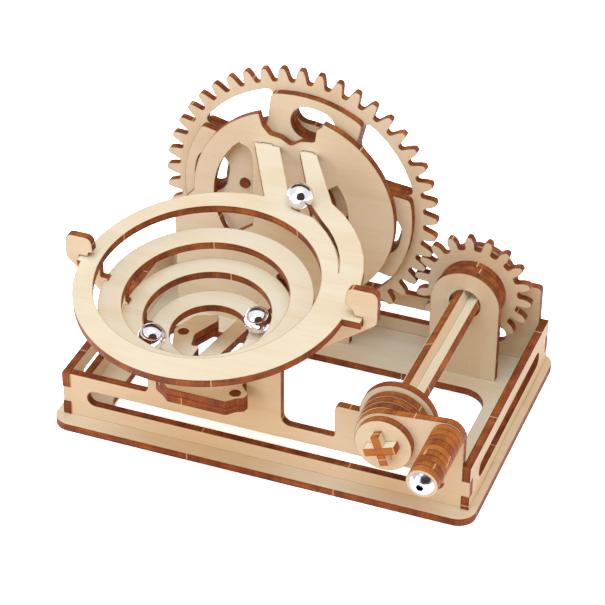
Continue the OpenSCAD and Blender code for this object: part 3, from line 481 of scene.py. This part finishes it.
# %% What the eye sees
def seen_by_eye(tree):
    """1 for rays of the camera, of mirrors and of glass, 0 for all other light."""
    path = add(tree, "LightPath")
    glass = calc(tree, "MAXIMUM", path.outputs["Is Glossy Ray"], path.outputs["Is Transmission Ray"])
    return calc(tree, "MAXIMUM", path.outputs["Is Camera Ray"], glass)


print("floor and room are told apart for eye and lamps")

# %% Floor
FLOOR_REACH = 3.0
FLOOR_DROP = 0.0002
FLOOR_PLAIN = (0.8, 0.61, 0.41, 1)
FLOOR_SHOWN = (2.8, 3.4, 4.6, 1)
floor_mesh = bpy.data.meshes.new("floor")
corners = [(x * FLOOR_REACH, y * FLOOR_REACH, 0) for x, y in ((-1, -1), (1, -1), (1, 1), (-1, 1))]
floor_mesh.from_pydata(corners, [], [(0, 1, 2, 3)])
floor = bpy.data.objects.new("floor", floor_mesh)
bpy.context.scene.collection.objects.link(floor)
floor.location.z = cad_box[0][2] - FLOOR_DROP

floor_finish, tree, out = start_material("white_floor")
plain = add(tree, "BsdfDiffuse", {"Color": FLOOR_PLAIN})
shown = add(tree, "BsdfDiffuse", {"Color": FLOOR_SHOWN})
both = add(tree, "MixShader", {0: seen_by_eye(tree), 1: plain.outputs[0], 2: shown.outputs[0]})
tree.links.new(both.outputs[0], out.inputs[0])
floor_mesh.materials.append(floor_finish)
print("floor at z =", round(floor.location.z, 5))

# %% Room
ROOM_LIGHT = 0.72
ROOM_TINT = (1.0, 0.64, 0.38, 1)
room = bpy.data.worlds.new("white_room")
bpy.context.scene.world = room
room.use_nodes = True
tree = room.node_tree
tree.nodes.clear()
sky = add(tree, "Background", {"Color": ROOM_TINT, "Strength": ROOM_LIGHT})
white = add(tree, "Background", {"Color": (1, 1, 1, 1), "Strength": 1.0})
both = add(tree, "MixShader", {0: seen_by_eye(tree), 1: sky.outputs[0], 2: white.outputs[0]})
tree.links.new(both.outputs[0], add(tree, "OutputWorld").inputs[0])
print("room light:", ROOM_LIGHT)

# %% Lamps
MIDDLE = Vector((0, 0.01, 0.05))   # of the object, which lamps and cards face


def soft_lamp(name, place, size, power, tint):
    """A square softbox that faces the object."""
    light = bpy.data.lights.new(name, "AREA")
    light.shape = "RECTANGLE"
    light.size = light.size_y = size
    light.energy = power
    light.color = tint
    made = bpy.data.objects.new(name, light)
    bpy.context.scene.collection.objects.link(made)
    made.location = place
    made.rotation_euler = (MIDDLE - Vector(place)).to_track_quat("-Z", "Y").to_euler()
    return made


lamps = [
    soft_lamp("overhead_softbox", (0.0, -0.25, 0.95), 0.8, 6.3, (0.48, 0.79, 1.0)),
    soft_lamp("front_left_softbox", (-0.55, -0.85, 0.45), 0.6, 2.4, (0.9, 0.95, 1.0)),
]
print("lamps:", [lamp.name for lamp in lamps])

# %% [markdown]
# In a white room a steel ball would be white all over. A photographer puts dark cards
# beside the camera for it to mirror, and so does this scene: one in front for the dark
# spot in the middle of each ball, and one behind for the dark line along its upper edge.
# Only mirrors see the cards, so they take no light from the wood.

# %% Dark cards
CARD_SIDES = 32


def dark_card(name, place, size):
    """An oval card that only mirrors see."""
    turns = [2 * math.pi * i / CARD_SIDES for i in range(CARD_SIDES)]
    outline = [(size[0] / 2 * math.cos(t), size[1] / 2 * math.sin(t), 0) for t in turns]
    mesh = bpy.data.meshes.new(name)
    mesh.from_pydata(outline, [], [range(CARD_SIDES)])
    made = bpy.data.objects.new(name, mesh)
    bpy.context.scene.collection.objects.link(made)
    made.location = place
    made.rotation_euler = (Vector(place) - MIDDLE).to_track_quat("Z", "Y").to_euler()
    for ray in ("camera", "diffuse", "shadow", "transmission", "volume_scatter"):
        setattr(made, "visible_" + ray, False)
    mesh.materials.append(card_finish)
    return made


card_finish, tree, out = start_material("dark_card")
tree.links.new(add(tree, "BsdfDiffuse", {"Color": (0.1, 0.09, 0.13, 1)}).outputs[0], out.inputs[0])
cards = [
    dark_card("card_front", (0.24, -0.45, 0.3), (0.75, 0.9)),
    dark_card("card_back", (-0.2, 1.0, 0.7), (3.2, 1.2)),
]
print("cards:", [card.name for card in cards])

# %% [markdown]
# ## Camera
#
# The camera stands to the right of the front, by about 21 degrees, and looks down by
# about 35. Its place was worked out from straight edges of the base and from the circle
# of tooth tips. The long lens keeps the edges of the base nearly parallel.

# %% Camera
LOOK_AT = Vector((-0.0020633, 0.019709, 0.0419326))
AZIMUTH, ELEVATION, ROLL = 0.361148, 0.604504, 0.0072263
DISTANCE = 0.896637
FOCAL_PIXELS, FRAME_PIXELS, SENSOR = 2424.09, 605, 36.0

flat = math.cos(ELEVATION)
back = Vector((math.sin(AZIMUTH) * flat, -math.cos(AZIMUTH) * flat, math.sin(ELEVATION)))
level = Vector((math.cos(AZIMUTH), math.sin(AZIMUTH), 0))
upward = back.cross(level)
right = level * math.cos(ROLL) + upward * math.sin(ROLL)
upward = back.cross(right)
lens = bpy.data.cameras.new("camera")
lens.sensor_width = SENSOR
lens.lens = FOCAL_PIXELS / FRAME_PIXELS * SENSOR
lens.clip_start = 0.01
camera = bpy.data.objects.new("camera", lens)
bpy.context.scene.collection.objects.link(camera)
turn = Matrix((right, upward, back)).transposed().to_4x4()
camera.matrix_world = Matrix.Translation(LOOK_AT + back * DISTANCE) @ turn
bpy.context.scene.camera = camera
bpy.context.scene.view_settings.view_transform = "Standard"
print("camera at", [round(x, 3) for x in camera.location], "lens", round(lens.lens, 1), "mm")
